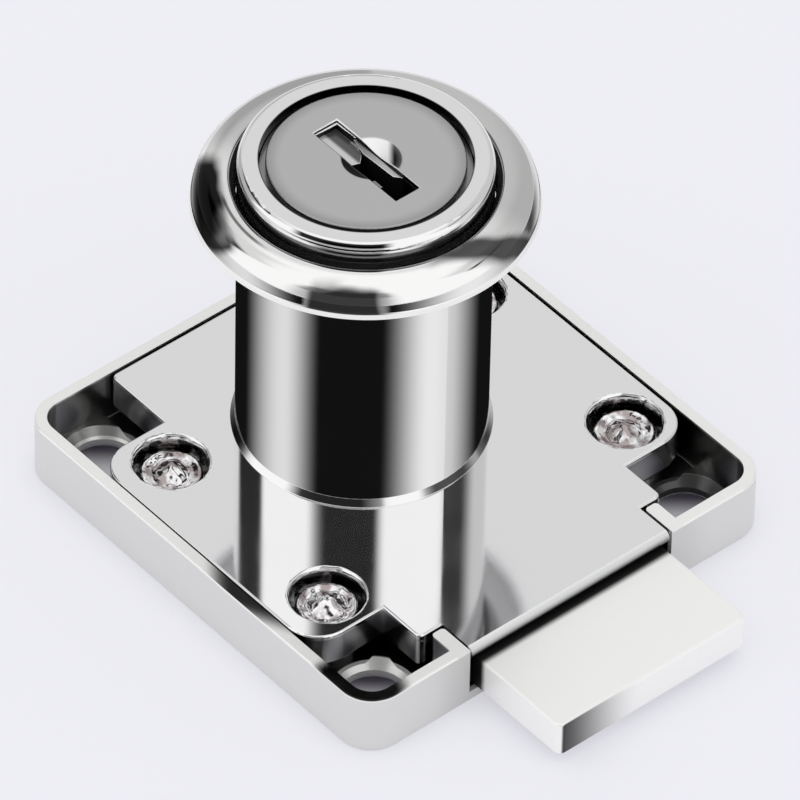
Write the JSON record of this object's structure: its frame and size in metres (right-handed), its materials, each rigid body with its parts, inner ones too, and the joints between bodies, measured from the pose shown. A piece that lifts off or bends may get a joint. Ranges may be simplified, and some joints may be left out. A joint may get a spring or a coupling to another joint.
{
  "type": "cabinet lock",
  "caption": "Surface-mounted cabinet drawer lock: square chromed case, cylindrical key barrel with a domed trim ring, and a flat sliding bolt.",
  "frame": {"origin": "on the barrel axis, in the plane of the case rim, which bears on the inside of the drawer front or door", "axes": "+Z along the barrel towards the key face; +X the way the bolt shoots; +Y completes a right-handed frame, across the bolt"},
  "size_m": [0.0496, 0.0394, 0.0314],
  "materials": {
    "case": "polished chrome plate",
    "cover": "polished chrome plate",
    "rivet": "formed rivet heads, plated",
    "bolt": "polished chrome plate",
    "plug": "machined brass",
    "cap": "satin",
    "pin": "ground steel",
    "clip": "spring steel",
    "wafer": "stamped brass",
    "spring": "spring wire",
    "ring": "polished chrome plate"
  },
  "bodies": {
    "case": {"base_tray": "case", "front_casting": "cover", "case_rivets": "rivet"},
    "bolt": {"deadbolt": "bolt"},
    "plug": {"cylinder_plug": "plug", "plug_cap": "cap", "drive_pin": "pin", "retaining_clip": "clip", "wafer_spring_1": "spring", "wafer_spring_2": "spring", "wafer_spring_3": "spring", "wafer_spring_4": "spring", "wafer_spring_5": "spring", "wafer_spring_6": "spring"},
    "ring": {"trim_ring": "ring"},
    "wafer_1": {"wafer_1": "wafer"},
    "wafer_2": {"wafer_2": "wafer"},
    "wafer_3": {"wafer_3": "wafer"},
    "wafer_4": {"wafer_4": "wafer"},
    "wafer_5": {"wafer_5": "wafer"},
    "wafer_6": {"wafer_6": "wafer"}
  },
  "joints": [
    {"name": "plug_turn", "type": "hinge", "parent": "case", "child": "plug", "pos_m": [0, 0, 0], "axis": [0, 0, 1], "range_deg": [0, 180]},
    {"name": "bolt_slide", "type": "slide", "parent": "case", "child": "bolt", "axis": [-1, 0, 0], "range_m": [0, 0.0092]},
    {"name": "ring_slide", "type": "slide", "parent": "case", "child": "ring", "axis": [0, 0, 1], "range_m": [-0.0214, 0.0035]},
    {"name": "wafer_1_slide", "type": "slide", "parent": "plug", "child": "wafer_1", "axis": [1, 0, 0], "range_m": [0, 0.0008], "stiffness_N_per_m": 100, "springref_m": 0.002, "deforming": ["wafer_spring_1"]},
    {"name": "wafer_2_slide", "type": "slide", "parent": "plug", "child": "wafer_2", "axis": [-1, 0, 0], "range_m": [0, 0.0008], "stiffness_N_per_m": 100, "springref_m": 0.002, "deforming": ["wafer_spring_2"]},
    {"name": "wafer_3_slide", "type": "slide", "parent": "plug", "child": "wafer_3", "axis": [1, 0, 0], "range_m": [0, 0.0008], "stiffness_N_per_m": 100, "springref_m": 0.002, "deforming": ["wafer_spring_3"]},
    {"name": "wafer_4_slide", "type": "slide", "parent": "plug", "child": "wafer_4", "axis": [-1, 0, 0], "range_m": [0, 0.0008], "stiffness_N_per_m": 100, "springref_m": 0.002, "deforming": ["wafer_spring_4"]},
    {"name": "wafer_5_slide", "type": "slide", "parent": "plug", "child": "wafer_5", "axis": [1, 0, 0], "range_m": [0, 0.0008], "stiffness_N_per_m": 100, "springref_m": 0.002, "deforming": ["wafer_spring_5"]},
    {"name": "wafer_6_slide", "type": "slide", "parent": "plug", "child": "wafer_6", "axis": [-1, 0, 0], "range_m": [0, 0.0008], "stiffness_N_per_m": 100, "springref_m": 0.002, "deforming": ["wafer_spring_6"]}
  ],
  "couplings": [
    {"joint": "bolt_slide", "follows": "plug_turn", "m_per_rad": 0.0029285}
  ]
}
